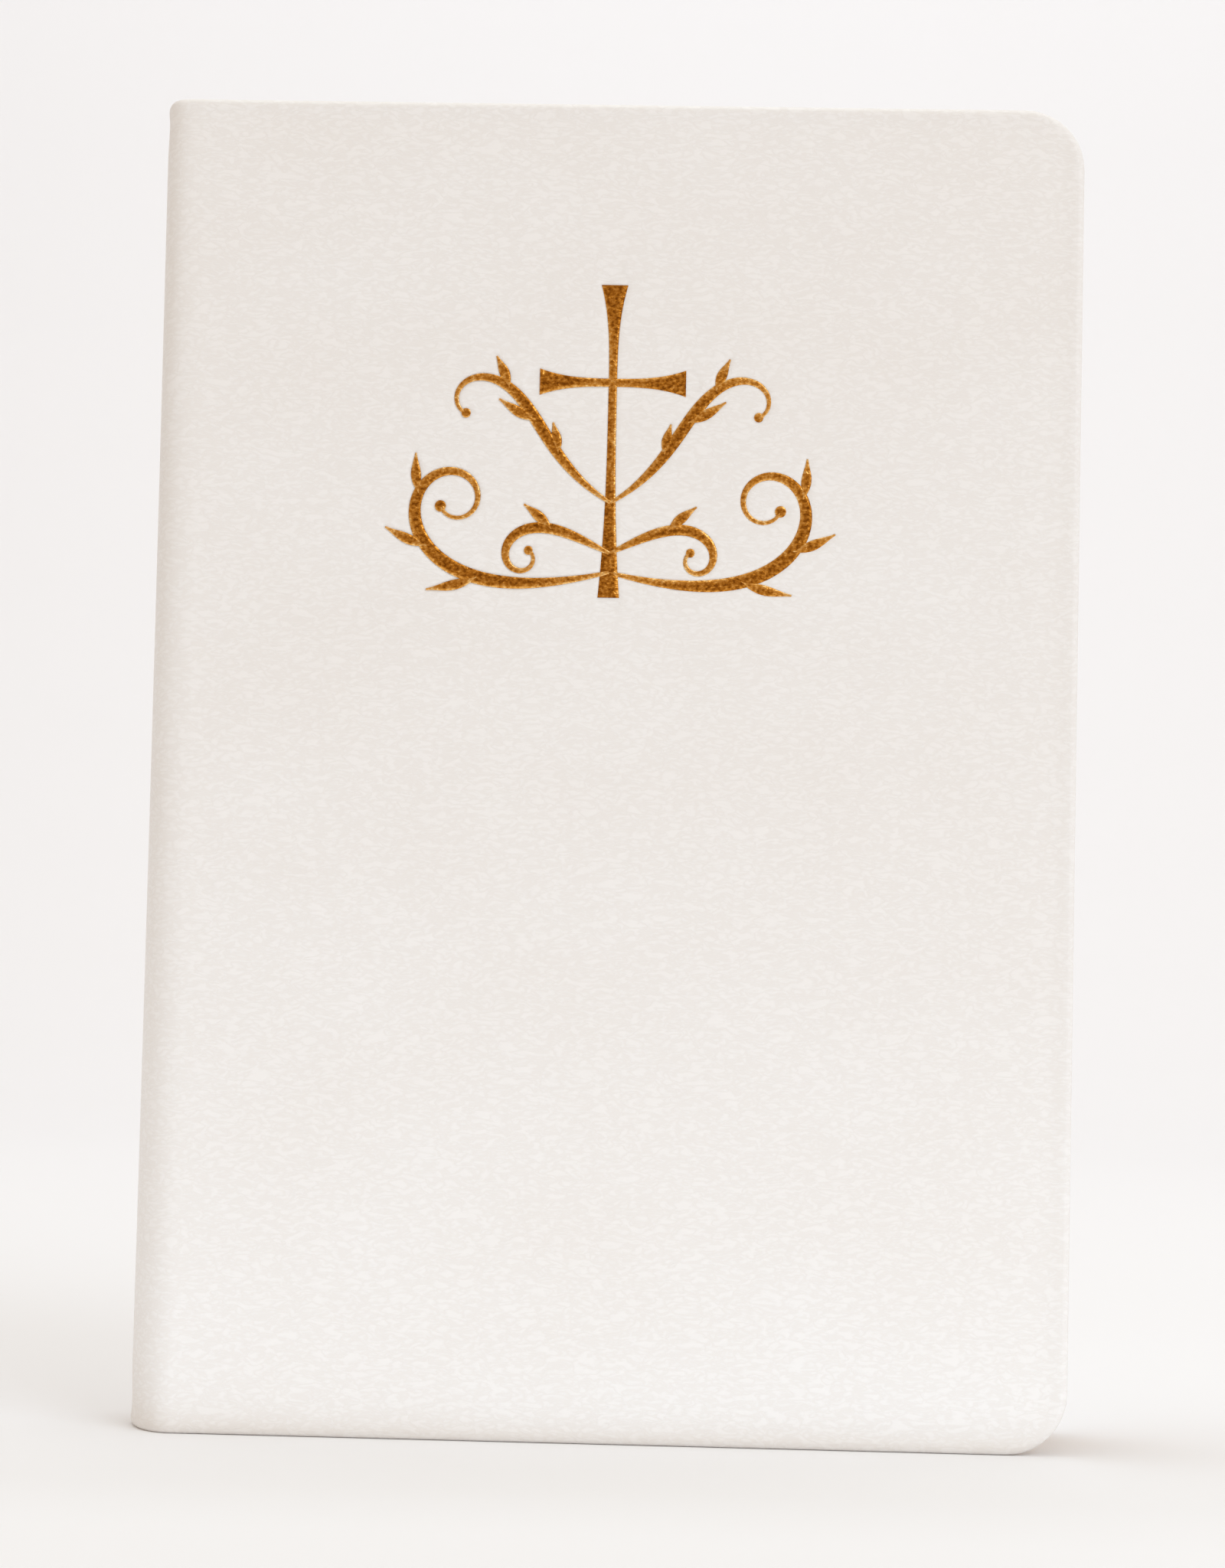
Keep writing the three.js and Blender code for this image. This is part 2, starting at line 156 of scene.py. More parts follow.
# The embossed grain is a fine haircell: wrinkles about 1.6 mm long and 0.8 mm high that
# lie across the cover, over pebbles of about 0.7 mm. A noise's waves are a little
# shorter than the step given here.
WRINKLE_MM = (2.1, 2.1, 0.85)
PEBBLE_MM = (0.8, 0.8, 0.6)
PORE_MM = (0.3, 0.3, 0.24)
DRIFT_MM = (6, 6, 4)
DRIFT = [1.6, 1.6, 1.6]


def leather_grain(tree):
    """The height of the grain, and of its wrinkles alone."""
    drift = add(
        tree, "TexNoise", {"Vector": rest_place(tree, DRIFT_MM), "Scale": 1.0, "Detail": 1.0},
        "Color",
    )
    pushed = add(
        tree, "VectorMath", {0: drift, 1: DRIFT, 2: rest_place(tree, WRINKLE_MM)},
        operation="MULTIPLY_ADD",
    )
    folds = add(
        tree, "TexNoise",
        {"Vector": pushed, "Scale": 1.0, "Detail": 3.0, "Roughness": 0.5, "Distortion": 0.5},
        "Fac",
    )
    offset = add(tree, "Math", {0: folds, 1: 0.5}, operation="SUBTRACT")
    ridges = add(tree, "Math", {0: offset}, operation="ABSOLUTE")
    wrinkles = add(
        tree, "MapRange", {"Value": ridges, "From Min": 0.0, "From Max": 0.16}, "Result",
        interpolation_type="SMOOTHSTEP",
    )
    cells = add(
        tree, "TexVoronoi",
        {"Vector": rest_place(tree, PEBBLE_MM), "Scale": 1.0, "Smoothness": 0.6}, "Distance",
        feature="SMOOTH_F1",
    )
    pores = add(
        tree, "TexNoise", {"Vector": rest_place(tree, PORE_MM), "Scale": 1.0, "Detail": 2.0},
        "Fac",
    )
    height = add(tree, "Math", {0: wrinkles, 1: 0.55}, operation="MULTIPLY")
    for part, share in ((folds, 0.5), (cells, -0.3), (pores, 0.1)):
        height = add(tree, "Math", {0: part, 1: share, 2: height}, operation="MULTIPLY_ADD")
    return height, wrinkles


def white_leather():
    """Imitation leather, polyurethane on cloth, with a grain pressed in by a roller:
    a soft satin white. Painted shade makes its colour a little warmer and darker in the hollows
    of the grain, which are also a little duller."""
    material, tree, shader = new_material(
        "white_imitation_leather", IOR=1.48, Specular_IOR_Level=0.4,
        Sheen_Weight=0.05, Sheen_Roughness=0.5,
    )
    height, wrinkles = leather_grain(tree)
    patches = add(
        tree, "TexNoise", {"Vector": rest_place(tree, (38, 38, 24)), "Scale": 1.0, "Detail": 3.0},
        "Fac",
    )
    # Painted shade: the colour is a little warmer and darker in the hollows of the wrinkles.
    painted_crease_shade = add(
        tree, "ValToRGB", {"Fac": wrinkles},
        stops=[(0.0, "#f5f2ef"), (0.6, "#f8f6f4"), (1.0, "#faf8f6")],
    )
    tone = add(tree, "ValToRGB", {"Fac": patches}, stops=[(0.3, "#fdfcfb"), (0.7, "#ffffff")])
    colour = add(
        tree, "Mix", {"Factor": 1.0, "A": painted_crease_shade, "B": tone}, "Result",
        data_type="RGBA", blend_type="MULTIPLY",
    )
    gloss = add(tree, "MapRange", {"Value": wrinkles, "To Min": 0.58, "To Max": 0.5}, "Result")
    relief = add(tree, "Bump", {"Height": height, "Distance": 0.05 * MM, "Strength": 0.7})
    lay_on(tree, shader, Base_Color=colour, Roughness=gloss, Normal=relief)
    return material


def gold_foil():
    """Hot-stamped metallised foil. Its colour holds painted light and painted reflection:
    hairlines and one side of each stroke are painted a light gold, broad strokes are
    painted browner as a reflection of the dark, and painted glints brighten flecks of
    about half a millimetre, where the grain lifts the foil and makes it glossier."""
    material, tree, shader = new_material("stamped_gold_foil", Metallic=1.0)
    height, _ = leather_grain(tree)
    flecks = add(
        tree, "TexNoise",
        {"Vector": rest_place(tree, (0.62, 0.62, 0.5)), "Scale": 1.0, "Detail": 4.0}, "Fac",
    )
    # Painted reflection and light: broad strokes and their middles are darker, and hairlines and
    # one side of each stroke lighter.
    painted_foil_shading = add(tree, "Attribute", {}, "Fac", attribute_name="painted_foil_shade")
    broad = add(tree, "Math", {0: painted_foil_shading, 1: 1.0}, operation="MINIMUM")
    # Painted glints: the flecks brighten the colour.
    light = add(tree, "Math", {0: broad, 1: -0.32, 2: flecks}, operation="MULTIPLY_ADD")
    colour = add(
        tree, "ValToRGB", {"Fac": light},
        stops=[(0.04, "#7f470f"), (0.18, "#b06c1e"), (0.3, "#cf8b37"), (0.42, "#e6a857"),
               (0.6, "#f8d08e")],
    )
    gloss = add(
        tree, "MapRange",
        {"Value": flecks, "From Min": 0.3, "From Max": 0.7, "To Min": 0.42, "To Max": 0.2},
        "Result",
    )
    relief = add(tree, "Bump", {"Height": height, "Distance": 0.09 * MM, "Strength": 0.9})
    lay_on(tree, shader, Base_Color=colour, Roughness=gloss, Normal=relief)
    return material


def page_lines(tree):
    """Lines along the leaves' edges. Bible paper is 0.045 mm thick, too fine to show,
    so each line stands for a few leaves."""
    wander = add(
        tree, "TexNoise", {"Vector": rest_place(tree, (40, 3, 40)), "Scale": 1.0}, "Fac"
    )
    shifted = add(
        tree, "VectorMath", {0: rest_place(tree, (60, 0.22, 60)), 1: wander}, operation="ADD"
    )
    return add(
        tree, "TexNoise", {"Vector": shifted, "Scale": 1.0, "Detail": 3.0, "Roughness": 0.7},
        "Fac",
    )


def gilt_edges():
    """Gold leaf burnished on the trimmed edges of the leaves, rubbed thin in places,
    with painted shade that darkens it between the bundles of leaves, so that each bundle looks
    bright."""
    material, tree, shader = new_material("gilt_page_edges", Metallic=0.88)
    lines = page_lines(tree)
    cloud = add(
        tree, "TexNoise", {"Vector": rest_place(tree, (9, 9, 14)), "Scale": 1.0, "Detail": 3.0},
        "Fac",
    )
    # Painted shade: the gold is darker between the bundles of leaves.
    gold = add(
        tree, "ValToRGB", {"Fac": lines},
        stops=[(0.28, "#8d6526"), (0.42, "#bd8c3c"), (0.58, "#d6aa58"), (0.75, "#ecc983")],
    )
    rubbed = add(tree, "ValToRGB", {"Fac": cloud}, stops=[(0.3, "#e9dcc4"), (0.65, "#ffffff")])
    colour = add(
        tree, "Mix", {"Factor": 1.0, "A": gold, "B": rubbed}, "Result",
        data_type="RGBA", blend_type="MULTIPLY",
    )
    gloss = add(
        tree, "MapRange",
        {"Value": cloud, "From Min": 0.3, "From Max": 0.7, "To Min": 0.4, "To Max": 0.26},
        "Result",
    )
    relief = add(tree, "Bump", {"Height": lines, "Distance": 0.05 * MM, "Strength": 0.6})
    lay_on(tree, shader, Base_Color=colour, Roughness=gloss, Normal=relief)
    return material


def thin_paper(name, low, high, own=True):
    """Uncoated paper, beaten and pressed: matt, and faintly clouded. Its fibres are
    0.03 mm thick, too fine to show, so the clouds are of a few dozen fibres."""
    material, tree, shader = new_material(
        name, Roughness=0.88, IOR=1.45, Specular_IOR_Level=0.2
    )
    fibres = add(
        tree, "TexNoise",
        {"Vector": rest_place(tree, (0.9, 0.9, 2.4), own), "Scale": 1.0, "Detail": 5.0}, "Fac",
    )
    colour = add(tree, "ValToRGB", {"Fac": fibres}, stops=[(0.3, low), (0.7, high)])
    relief = add(tree, "Bump", {"Height": fibres, "Distance": 0.02 * MM, "Strength": 0.4})
    lay_on(tree, shader, Base_Color=colour, Normal=relief)
    return material


def grey_card():
    """Millboard of pressed waste paper: dull brown-grey, with flecks of a millimetre."""
    material, tree, shader = new_material("millboard", Roughness=0.92, IOR=1.45)
    flecks = add(
        tree, "TexNoise",
        {"Vector": rest_place(tree, (1.1, 1.1, 0.7), own=False), "Scale": 1.0, "Detail": 6.0},
        "Fac",
    )
    colour = add(
        tree, "ValToRGB", {"Fac": flecks},
        stops=[(0.3, "#97866b"), (0.55, "#b5a488"), (0.75, "#cdbfa5")],
    )
    relief = add(tree, "Bump", {"Height": flecks, "Distance": 0.06 * MM, "Strength": 0.6})
    lay_on(tree, shader, Base_Color=colour, Normal=relief)
    return material


WAVE_MM = math.pi / 10  # the wave texture's own period at scale 1
MULL_THREADS_MM = 0.4398


def starched_mull():
    """Open cotton cloth, woven plain and starched: ribs of thread both ways, with
    painted shade that darkens the gaps between them."""
    material, tree, shader = new_material("starched_mull", Roughness=0.95, IOR=1.45)
    weave = {
        "Vector": rest_place(tree, (1, 1, 1), own=False), "Scale": WAVE_MM / MULL_THREADS_MM,
        "Distortion": 0.4, "Detail": 1.0,
    }
    weft = add(tree, "TexWave", weave, "Fac", bands_direction="Y")
    warp = add(tree, "TexWave", weave, "Fac", bands_direction="Z")
    threads = add(tree, "Math", {0: weft, 1: warp}, operation="MAXIMUM")
    # Painted shade: the colour is darker in the gaps between the threads.
    colour = add(
        tree, "ValToRGB", {"Fac": threads}, stops=[(0.35, "#cfc6b2"), (0.8, "#eee8da")]
    )
    relief = add(tree, "Bump", {"Height": threads, "Distance": 0.12 * MM, "Strength": 0.8})
    lay_on(tree, shader, Base_Color=colour, Normal=relief)
    return material


def spun_thread(name, own):
    """Mercerised thread, twisted: smooth, with a soft sheen from the shader, and a painted sheen
    that lightens its colour along each twist.
    """
    material, tree, shader = new_material(
        name, Roughness=0.5, IOR=1.5, Sheen_Weight=0.3, Sheen_Roughness=0.4
    )
    twist = add(
        tree, "TexNoise",
        {"Vector": rest_place(tree, (0.5, 0.12, 0.12), own), "Scale": 1.0, "Detail": 3.0}, "Fac",
    )
    # Painted sheen: the colour is lighter along each twist.
    colour = add(tree, "ValToRGB", {"Fac": twist}, stops=[(0.3, "#ddd0b4"), (0.7, "#f7f0de")])
    relief = add(tree, "Bump", {"Height": twist, "Distance": 0.03 * MM, "Strength": 0.5})
    lay_on(tree, shader, Base_Color=colour, Normal=relief)
    return material


def white_sweep():
    """Board painted matt white with a roller, plain and nearly free of gloss."""
    material, _, shader = new_material("matt_white_sweep", Roughness=0.9, Specular_IOR_Level=0.1)
    shader.inputs["Base Color"].default_value = linear("#f7f7f8")
    return material


# ------------------------------------------------------------------ meshes


def new_piece(name, points, faces, materials, smooth=True, groups=None):
    """A mesh piece. groups gives each face's material, and points are kept as rest."""
    mesh = bpy.data.meshes.new(name)
    mesh.from_pydata([tuple(p) for p in points], [], [tuple(f) for f in faces])
    mesh.validate()
    for material in materials:
        mesh.materials.append(material)
    if groups is not None:
        mesh.polygons.foreach_set("material_index", np.array(groups, np.int32))
    mesh.polygons.foreach_set("use_smooth", np.full(len(mesh.polygons), smooth))
    rest = mesh.attributes.new("rest", "FLOAT_VECTOR", "POINT")
    rest.data.foreach_set("vector", np.asarray(points, np.float32).ravel())
    mesh.update()
    piece = bpy.data.objects.new(name, mesh)
    bpy.context.scene.collection.objects.link(piece)
    return piece


def grid_quads(index):
    """The faces between neighbours in a grid of point numbers."""
    corners = [index[:-1, :-1], index[1:, :-1], index[1:, 1:], index[:-1, 1:]]
    return np.stack(corners, 2).reshape(-1, 4)


def smoothstep(value, low, high):
    """0 up to low, 1 from high, and a soft step between."""
    t = np.clip((value - low) / (high - low), 0, 1)
    return t * t * (3 - 2 * t)


def round_corner(columns, right, radius):
    """How far the tail and head draw in at each column by the round fore corners."""
    past = (columns - (right - radius)).clip(0, radius)
    return radius - np.sqrt(radius**2 - past**2)


def half_spine(rise, squareness):
    """The spine's curve from its middle to a joint, as x, y and normals at even steps.
    It is a superellipse: squareness 2 is an ellipse, and more is squarer."""
    # Closest together at both ends, where a squarer curve turns fastest
    angle = (1 - np.cos(np.linspace(0, math.pi, 1201))) * math.pi / 4
    power = 2 / squareness
    x = JOINT_X - rise * np.cos(angle).clip(0) ** power
    y = HALF * np.sin(angle) ** power
    run = np.concatenate([[0], np.cumsum(np.hypot(np.diff(x), np.diff(y)))])
    steps = np.linspace(0, run[-1], 241)
    x, y = np.interp(steps, run, x), np.interp(steps, run, y)
    along_x, along_y = np.gradient(x), np.gradient(y)
    along_x[0], along_y[-1] = 0, 0
    size = np.hypot(along_x, along_y)
    return np.stack([x, y, -along_y / size, along_x / size]), run[-1]


# The limp spine sags: it is round and full at the tail, squarer and tighter at the head.
HEAD_TUCK = 0.9 * MM
TAIL_SPINE, SPINE_ARC = half_spine(SPINE_RISE, squareness=2)
HEAD_SPINE, _ = half_spine(SPINE_RISE - HEAD_TUCK, squareness=4)
SPINE_SHARES = np.linspace(0, 1, TAIL_SPINE.shape[1])
CASE_W = SPINE_ARC + FORE_X - JOINT_X  # round the case, from mid spine to fore-edge


def on_case(around, depth, side, up):
    """x and y of places round the case, at a depth under its outer face."""
    around, depth, up = np.broadcast_arrays(np.asarray(around, float), depth, up)
    share = np.clip(around / SPINE_ARC, 0, 1)
    headward = np.clip(up / HEIGHT, 0, 1)
    tail, head = (
        np.stack([np.interp(share, SPINE_SHARES, row) for row in rows])
        for rows in (TAIL_SPINE, HEAD_SPINE)
    )
    x, y, normal_x, normal_y = tail + (head - tail) * headward
    size = np.hypot(normal_x, normal_y)
    flat = np.maximum(around - SPINE_ARC, 0)
    return x + flat - depth * normal_x / size, side * (y - depth * normal_y / size)


def case_thickness(around):
    """The spine is thinner than the covers, and the joint runs from one to the other."""
    cover_share = smoothstep(around, SPINE_ARC - 2 * MM, SPINE_ARC + 5 * MM)
    return SPINE_T + (COVER_T - SPINE_T) * cover_share


# ---------------------------------------------------- the stamped ornament
# A cross between leafy scrolls, in millimetres from the middle of the ornament. Each
# flourish starts on the cross's stem, and bend is its curvature at its start and end.

HAIRLINE = 0.55
BROADEST = 2.2
PEN_PRESSURE = 1.6  # above 1, a stroke swells late and suddenly
LEAF_THICK = 1.6
LEAF_TIP = 0.3
LEAF_CURL = 0.08
STAMP_DEPTH = 0.14 * MM
FLOURISHES = [
    dict(start=-17.5, heading=-14, length=61, bend=(0.013, 0.378), ease=2.2, thick=2.2,
         swell=0.42, bead=0.9, leaves=[(0.34, -42, 8.2), (0.5, -40, 7.2), (0.65, -38, 6.4)]),
    dict(start=-14.5, heading=26, length=28, bend=(0, -0.667), ease=2, thick=1.7,
         swell=0.4, bead=0.7, leaves=[(0.36, 40, 5.8)]),
    dict(start=-6.5, heading=30, length=38, bend=(0.039, -0.467), ease=3, thick=1.9,
         swell=0.45, bead=0.75, leaves=[(0.3, 34, 5), (0.47, -38, 6.8), (0.64, 38, 5.4)]),
]


def curl(start, heading, length, bend, ease=1.0, steps=90):
    """A line whose heading turns faster and faster: x, y and heading at each step."""
    step = length / steps
    along = (np.arange(steps) + 0.5) / steps
    turns = (bend[0] + (bend[1] - bend[0]) * along**ease) * step
    angles = math.radians(heading) + np.concatenate([[0], np.cumsum(turns)])
    middles = angles[:-1] + turns / 2
    x = start[0] + np.concatenate([[0], np.cumsum(step * np.cos(middles))])
    y = start[1] + np.concatenate([[0], np.cumsum(step * np.sin(middles))])
    return np.stack([x, y, angles], 1)


def pen_widths(count, thick, swell, tip):
    """A stroke's widths, thickest at the share of its length that swell gives."""
    along = np.linspace(0, 1, count) ** (math.log(0.5) / math.log(swell))
    return tip + (thick - tip) * np.sin(math.pi * along).clip(0) ** PEN_PRESSURE


def flourish_strokes(start, heading, length, bend, ease, thick, swell, bead, leaves):
    """One scroll with a bead at its end and its leaves, as lines and their widths."""
    line = curl((0, start), heading, length, bend, ease)
    strokes = [(line, pen_widths(len(line), thick, swell, HAIRLINE))]
    end = line[-1]
    across = np.linspace(-1, 1, 15)
    level = np.full(across.size, end[1])
    dot = np.stack([end[0] + bead * across, level, np.zeros(across.size)], 1)
    strokes.append((dot, 2 * bead * np.sqrt(1 - across**2) + 0.01))
    for place, turn, size in leaves:
        root = line[round(place * (len(line) - 1))]
        back = (-math.copysign(LEAF_CURL, turn), 0)
        vein = curl(root[:2], math.degrees(root[2]) + turn, size, back, steps=24)
        strokes.append((vein, pen_widths(len(vein), LEAF_THICK, 0.45, LEAF_TIP)))
    return strokes


def cross_strokes(arms, waist, centre=0.0):
    """A cross's arms, which widen from its waist. Each arm is its direction in degrees,
    its length and the width of its end, and centre is the height where they meet."""
    strokes = []
    along = np.linspace(0, 1, 24)
    for degrees, length, end in arms:
        angle = math.radians(degrees)
        x = along * length * math.cos(angle)
        y = centre + along * length * math.sin(angle)
        line = np.stack([x, y, np.full(along.size, angle)], 1)
        strokes.append((line, waist + (end - waist) * along**3))
    return strokes


def mirrored(strokes):
    """The strokes on the other side of the stem."""
    return [(line * (-1, 1, -1) + (0, 0, math.pi), width) for line, width in strokes]


def cover_strokes():
    """The cross and the scrolls on both sides of it."""
    half = [stroke for flourish in FLOURISHES for stroke in flourish_strokes(**flourish)]
    arms = [(90, 15.5, 4.2), (0, 11.5, 4.2), (180, 11.5, 4.2), (270, 34, 3.4)]
    return cross_strokes(arms, 1.3, 12.5) + half + mirrored(half)


def spine_strokes():
    """A small plain cross."""
    return cross_strokes([(90, 3.2, 1.8), (0, 2.6, 1.8), (180, 2.6, 1.8), (270, 6, 1.8)], 0.9)


# Both ornaments' middles, from the feet of their crosses
ORNAMENT_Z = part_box("cover_ornament")[0].z + 21.5 * MM
SPINE_MARK_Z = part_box("spine_ornament")[0].z + 6 * MM

# How far the stamps press the leather, in mm: across, down and up from their middles
ORNAMENT_REACH = (37, 23, 30)
SPINE_MARK_REACH = (3.4, 7, 5)


STAMP_STEP = 0.2


def stroke_points(strokes):
    """Places along the strokes, close together, with the stroke's half width there."""
    rows = []
    for line, width in strokes:
        run = np.concatenate([[0], np.cumsum(np.hypot(*np.diff(line[:, :2], axis=0).T))])
        at = np.arange(0, run[-1] + STAMP_STEP, STAMP_STEP)
        rows.append(np.stack([
            np.interp(at, run, line[:, 0]), np.interp(at, run, line[:, 1]),
            np.interp(at, run, width) / 2,
        ], 1))
    return np.concatenate(rows)


def stamped(across, up, strokes):
    """How deep the stamp presses the leather at places in mm from its middle."""
    nearest = np.full(across.shape, np.inf)
    for x, y, half in stroke_points(strokes):
        nearest = np.minimum(nearest, np.hypot(across - x, up - y) - half)
    return STAMP_DEPTH * (1 - smoothstep(nearest, 0.05, 0.5))


# --------------------------------------------------------------- the case


def spread(*runs):
    """Places along a line: runs of (from, to, spacing), in mm, as one sorted list."""
    rows = [np.linspace(a, b, max(2, round(abs(b - a) / step) + 1)) for a, b, step in runs]
    return np.unique(np.round(np.concatenate(rows), 4)) * MM


def skin_lines(has_stamp):
    """Grid lines round and up the case, closest at the joint, the edges and the stamps."""
    arc, wide, high = SPINE_ARC / MM, CASE_W / MM, HEIGHT / MM
    roll, inner_r = EDGE_ROLL / MM, INNER_R / MM
    near_edge = wide - roll - inner_r - SQUEEZE / MM
    around = [
        (0, arc - 4, 0.55), (arc - 4, arc + 3, 0.3), (arc + 3, arc + 8, 0.8),
        (arc + 8, near_edge, 3), (near_edge, wide - roll, 0.9),
    ]
    up = [(roll + inner_r, high - roll - inner_r, 3)]
    if has_stamp:
        centre, middle = arc - JOINT_X / MM, ORNAMENT_Z / MM
        across, below, above = ORNAMENT_REACH
        around.append((centre - across, centre + across, 0.36))
        up.append((middle - below, middle + above, 0.36))
    across, below, above = SPINE_MARK_REACH
    around.append((0, across, 0.3))
    up.append((SPINE_MARK_Z / MM - below, SPINE_MARK_Z / MM + above, 0.3))
    corner = inner_r * (1 - np.cos(np.radians(np.linspace(0, 90, 11))))
    rows = np.concatenate([spread(*up), (roll + corner) * MM, (high - roll - corner) * MM])
    return spread(*around), np.unique(np.round(rows, 7))


SET_IN = 0.13 * MM  # how far the face lies under the rolled edge
UNEVEN = 0.06 * MM


def cover_relief(around, up, side):
    """Depth of the outer face: the stamps, the set-in beside the rolled edge, and a
    slight unevenness of the limp cover."""
    depth = np.zeros(around.shape)
    flat = np.clip((around - SPINE_ARC) / (30 * MM), 0, 1)
    edge = np.minimum.reduce([CASE_W - around, HEIGHT - up, up])
    inside = smoothstep(edge, EDGE_ROLL, EDGE_ROLL + 1.6 * MM)
    depth += SET_IN * inside * (1 - smoothstep(edge, 3.5 * MM, 9 * MM))
    swell = np.sin(around / (41 * MM) + 0.6) * np.sin(up / (57 * MM) + 1.1 * side)
    depth += UNEVEN * (1 + swell) * flat * inside
    if side < 0:
        across = (around - SPINE_ARC + JOINT_X) / MM
        depth += stamped(across, (up - ORNAMENT_Z) / MM, cover_strokes())
    near = around < 4 * MM  # where the spine's stamp can reach
    depth[near] += stamped(around[near] / MM, (up[near] - SPINE_MARK_Z) / MM, spine_strokes())
    return depth


def skin_face(side):
    """The outer face as a grid: places round and up the case, and their depths. The
    last columns are squeezed in, so that the face ends in round corners."""
    columns, rows = skin_lines(side < 0)
    last = CASE_W - EDGE_ROLL
    squeeze_from = last - INNER_R - SQUEEZE
    from_end = np.minimum(rows - EDGE_ROLL, HEIGHT - EDGE_ROLL - rows).clip(0)
    drop = (INNER_R - from_end).clip(0)
    ends = last - INNER_R + np.sqrt(INNER_R**2 - drop**2)
    share = ((columns - squeeze_from) / (last - squeeze_from)).clip(0)
    around = np.where(
        columns[:, None] > squeeze_from,
        squeeze_from + share[:, None] * (ends[None, :] - squeeze_from),
        columns[:, None],
    )
    up = np.broadcast_to(rows[None, :], around.shape)
    return around, up, cover_relief(around, up, side)


def edge_facing(around, up):
    """Which way the edge faces at places on the border of the face: round and up."""
    facing_a = ((around - (CASE_W - FACE_END)) / INNER_R).clip(0)
    facing_z = (up - np.clip(up, FACE_END, HEIGHT - FACE_END)) / INNER_R
    size = np.hypot(facing_a, facing_z)
    return facing_a / size, facing_z / size


def leather_skin(name, side):
    """One cover's leather with half of the spine: the outer face, the edge rolled
    round the board and the turn-in."""
    around, up, depth = skin_face(side)
    x, y = on_case(around, depth, side, up)
    points = [np.stack([x, y, up], 2).reshape(-1, 3)]
    index = np.arange(around.size).reshape(around.shape)
    quads = [grid_quads(index)]

    # The border runs from the spine's tail round the fore-edge to the spine's head.
    # Rings of points go round the rolled edge and then inward along the board.
    border = np.concatenate([index[:-1, 0], index[-1, :], index[-2::-1, -1]])
    around, up, depth = (grid.ravel()[border] for grid in (around, up, depth))
    facing_a, facing_z = edge_facing(around, up)
    thick = case_thickness(around)
    rings = [(math.sin(a), (1 - math.cos(a)) / 2) for a in np.radians(np.arange(15, 181, 15))]
    rings += [(-reach * MM / EDGE_ROLL, 1.0) for reach in TURN_IN_MM]
    before = border
    for number, (out, down) in enumerate(rings):
        ring_up = up + facing_z * out * EDGE_ROLL
        ring_depth = depth * (1 - down) + thick * down
        x, y = on_case(around + facing_a * out * EDGE_ROLL, ring_depth, side, ring_up)
        points.append(np.stack([x, y, ring_up], 1))
        ring = index.size + number * border.size + np.arange(border.size)
        quads.append(np.stack([before[:-1], ring[:-1], ring[1:], before[1:]], 1))
        before = ring
    faces = np.concatenate(quads)
    if side > 0:
        faces = faces[:, ::-1]
    skin = new_piece(name, np.concatenate(points), faces, [LEATHER])
    return skin


def make_case():
    """Two skins of leather, each with its half of the spine."""
    for name, side in SIDES.items():
        skin = leather_skin(f"{name}_cover_skin", side)
        nodes = [f"{name}_leather"] + (["spine_leather"] if side < 0 else [])
        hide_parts(*nodes)
        bend_at_joint(skin)


def bend_at_joint(piece):
    """Bakes a piece's transform into its mesh; the piece is left unbent at the joint."""
    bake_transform(piece)


# --------------------------------------------------------------- the foil


# How far the foil lies under its flat, in mm, at places across a stroke from -1 to 1.
# Its edges go down into the leather.
FOIL_PROFILE = [
    (-1.0, 0.05), (-0.98, 0.0), (-0.5, -0.018), (0, -0.024), (0.5, -0.018), (0.98, 0.0),
    (1.0, 0.05),
]
FOIL_LIFT = 0.0012  # mm from one stroke to the next, so that no two lie in one plane
FOIL_DEPTH = STAMP_DEPTH - 0.03 * MM


def foil_mesh(name, strokes, to_point, node):
    """The strokes as strips of foil, slightly domed. Each point carries painted reflection and
    light for the foil's colour: darkest in the middle of a broad stroke, and lighter towards one
    of its sides."""
    points, faces, painted_foil_shades = [], [], []
    step = len(FOIL_PROFILE)
    for number, (line, width) in enumerate(strokes):
        base = len(points)
        for (x, y, angle), w in zip(line, width):
            for share, fall in FOIL_PROFILE:
                off = share * w / 2
                # Painted reflection and light: darker on broad strokes and in their middles,
                # lighter towards one side.
                painted_foil_shades.append(w / BROADEST * (1.3 - 0.35 * share - 0.7 * share**2))
                points.append(to_point(
                    x - math.sin(angle) * off, y + math.cos(angle) * off,
                    FOIL_DEPTH + (fall - FOIL_LIFT * number) * MM,
                ))
        for i in range(len(line) - 1):
            for j in range(step - 1):
                a = base + i * step + j
                faces.append((a, a + step, a + step + 1, a + 1))
    foil = new_piece(name, points, faces, [FOIL])
    painted_foil_shade = foil.data.attributes.new("painted_foil_shade", "FLOAT", "POINT")
    painted_foil_shade.data.foreach_set("value", np.array(painted_foil_shades, np.float32))
    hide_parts(node)
    return foil


def on_cover(across, up, depth):
    """A place on the front cover, from the middle of its ornament in mm."""
    z = ORNAMENT_Z + up * MM
    x, y = on_case(SPINE_ARC - JOINT_X + across * MM, depth, -1, z)
    return float(x), float(y), z


def on_spine(across, up, depth):
    """A place on the spine, from the middle of its ornament in mm."""
    z = SPINE_MARK_Z + up * MM
    x, y = on_case(abs(across) * MM, depth, math.copysign(1, -across), z)
    return float(x), float(y), z


def make_foil():
    """The ornament on the front cover, and the small cross on the spine."""
    cover = foil_mesh("cover_foil", cover_strokes(), on_cover, "cover_ornament")
    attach(cover, "front_cover")
    spine = foil_mesh("spine_foil", spine_strokes(), on_spine, "spine_ornament")
    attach(spine, "text_block")


# --------------------------------------------------------- the text block


CORNER_TURNS = np.linspace(0, 90, 21)[1:]
OUT_OF_LINE = 0.07 * MM
OUTER_OUT_OF_LINE = 0.1 * MM


